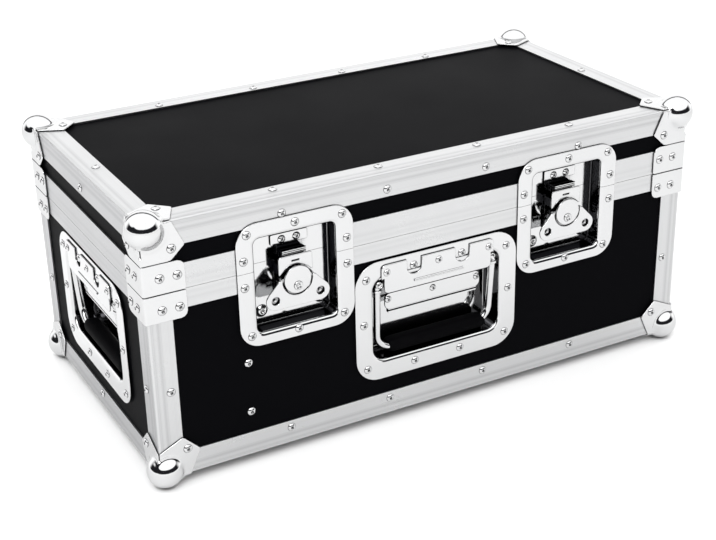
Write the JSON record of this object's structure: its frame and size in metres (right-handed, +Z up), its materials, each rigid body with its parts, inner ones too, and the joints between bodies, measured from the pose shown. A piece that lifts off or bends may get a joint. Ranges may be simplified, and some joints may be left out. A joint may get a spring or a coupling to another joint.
{
  "type": "accessory flight case",
  "caption": "Hinged road case for accessories: laminated panels in aluminium edging, ball corners, recessed twist latches and sprung handles",
  "frame": {"origin": "middle of the case's footprint, on the plane that the bottom balls stand on", "axes": "+X along the length to the right seen from the latch side, +Y from the latch side to the hinge side, +Z up"},
  "size_m": [0.5572, 0.2992, 0.2506],
  "materials": {
    "laminate": "black laminated plywood, fine grain",
    "aluminium": "satin, fine lengthwise grooves",
    "plated_steel": "bright plated pressed steel",
    "rubber": "matt black moulded rubber"
  },
  "bodies": {
    "base": {"floor_panel": "laminate", "front_wall": "laminate", "back_wall": "laminate", "left_wall": "laminate", "right_wall": "laminate", "bottom_edging": "aluminium", "base_closer": "aluminium", "base_closer_front": "aluminium", "divider": "aluminium", "upright_edge_front_left": "aluminium", "upright_edge_front_right": "aluminium", "upright_edge_back_right": "aluminium", "upright_edge_back_left": "aluminium", "base_corner_front_left": "plated_steel", "base_corner_front_right": "plated_steel", "base_corner_back_right": "plated_steel", "base_corner_back_left": "plated_steel", "base_brace_front_left": "plated_steel", "base_brace_front_right": "plated_steel", "base_brace_back_right": "plated_steel", "base_brace_back_left": "plated_steel", "left_latch_dish_lower": "plated_steel", "left_latch_base": "plated_steel", "left_hinge_base_leaf": "plated_steel", "right_latch_dish_lower": "plated_steel", "right_latch_base": "plated_steel", "right_hinge_base_leaf": "plated_steel", "front_handle_dish": "plated_steel", "left_handle_dish": "plated_steel", "right_handle_dish": "plated_steel"},
    "lid": {"lid_top_panel": "laminate", "lid_walls": "laminate", "lid_top_edging": "aluminium", "lid_closer": "aluminium", "lid_closer_front": "aluminium", "lid_corner_front_left": "plated_steel", "lid_corner_front_right": "plated_steel", "lid_corner_back_right": "plated_steel", "lid_corner_back_left": "plated_steel", "lid_brace_front_left": "plated_steel", "lid_brace_front_right": "plated_steel", "lid_brace_back_right": "plated_steel", "lid_brace_back_left": "plated_steel", "left_latch_dish_upper": "plated_steel", "left_hinge_lid_leaf": "plated_steel", "right_latch_dish_upper": "plated_steel", "right_hinge_lid_leaf": "plated_steel"},
    "left_hub": {"left_latch_hub": "plated_steel"},
    "left_wing": {"left_latch_wing": "plated_steel"},
    "left_hook": {"left_latch_hook": "plated_steel"},
    "right_hub": {"right_latch_hub": "plated_steel"},
    "right_wing": {"right_latch_wing": "plated_steel"},
    "right_hook": {"right_latch_hook": "plated_steel"},
    "front_bail": {"front_handle_bail": "plated_steel", "front_handle_grip": "rubber"},
    "left_bail": {"left_handle_bail": "plated_steel", "left_handle_grip": "rubber"},
    "right_bail": {"right_handle_bail": "plated_steel", "right_handle_grip": "rubber"}
  },
  "joints": [
    {"name": "lid_hinge", "type": "hinge", "parent": "base", "child": "lid", "pos_m": [0, 0.1442, 0.18055], "axis": [-1, 0, 0], "range_deg": [0, 100]},
    {"name": "left_hub_turn", "type": "hinge", "parent": "base", "child": "left_hub", "pos_m": [-0.1365, -0.1402, 0.1598], "axis": [0, 1, 0], "range_deg": [0, 180]},
    {"name": "left_wing_flip", "type": "hinge", "parent": "left_hub", "child": "left_wing", "pos_m": [-0.1365, -0.1408, 0.1658], "axis": [-1, 0, 0], "range_deg": [0, 90]},
    {"name": "left_hook_slide", "type": "slide", "parent": "base", "child": "left_hook", "axis": [0, -0.3987, 0.9171], "range_m": [0, 0.01003]},
    {"name": "right_hub_turn", "type": "hinge", "parent": "base", "child": "right_hub", "pos_m": [0.1365, -0.1402, 0.1598], "axis": [0, 1, 0], "range_deg": [0, 180]},
    {"name": "right_wing_flip", "type": "hinge", "parent": "right_hub", "child": "right_wing", "pos_m": [0.1365, -0.1408, 0.1658], "axis": [-1, 0, 0], "range_deg": [0, 90]},
    {"name": "right_hook_slide", "type": "slide", "parent": "base", "child": "right_hook", "axis": [0, -0.3987, 0.9171], "range_m": [0, 0.01003]},
    {"name": "front_bail_swing", "type": "hinge", "parent": "base", "child": "front_bail", "pos_m": [0, -0.1372, 0.13889], "axis": [-1, 0, 0], "range_deg": [0, 90], "stiffness_Nm_per_rad": 0.2},
    {"name": "left_bail_swing", "type": "hinge", "parent": "base", "child": "left_bail", "pos_m": [-0.2662, 0, 0.13889], "axis": [0, 1, 0], "range_deg": [0, 90], "stiffness_Nm_per_rad": 0.2},
    {"name": "right_bail_swing", "type": "hinge", "parent": "base", "child": "right_bail", "pos_m": [0.2662, 0, 0.13889], "axis": [0, -1, 0], "range_deg": [0, 90], "stiffness_Nm_per_rad": 0.2}
  ],
  "couplings": [
    {"joint": "left_hub_turn", "follows": "left_hook_slide", "rad_per_m": 313.16},
    {"joint": "right_hub_turn", "follows": "right_hook_slide", "rad_per_m": 313.16}
  ]
}
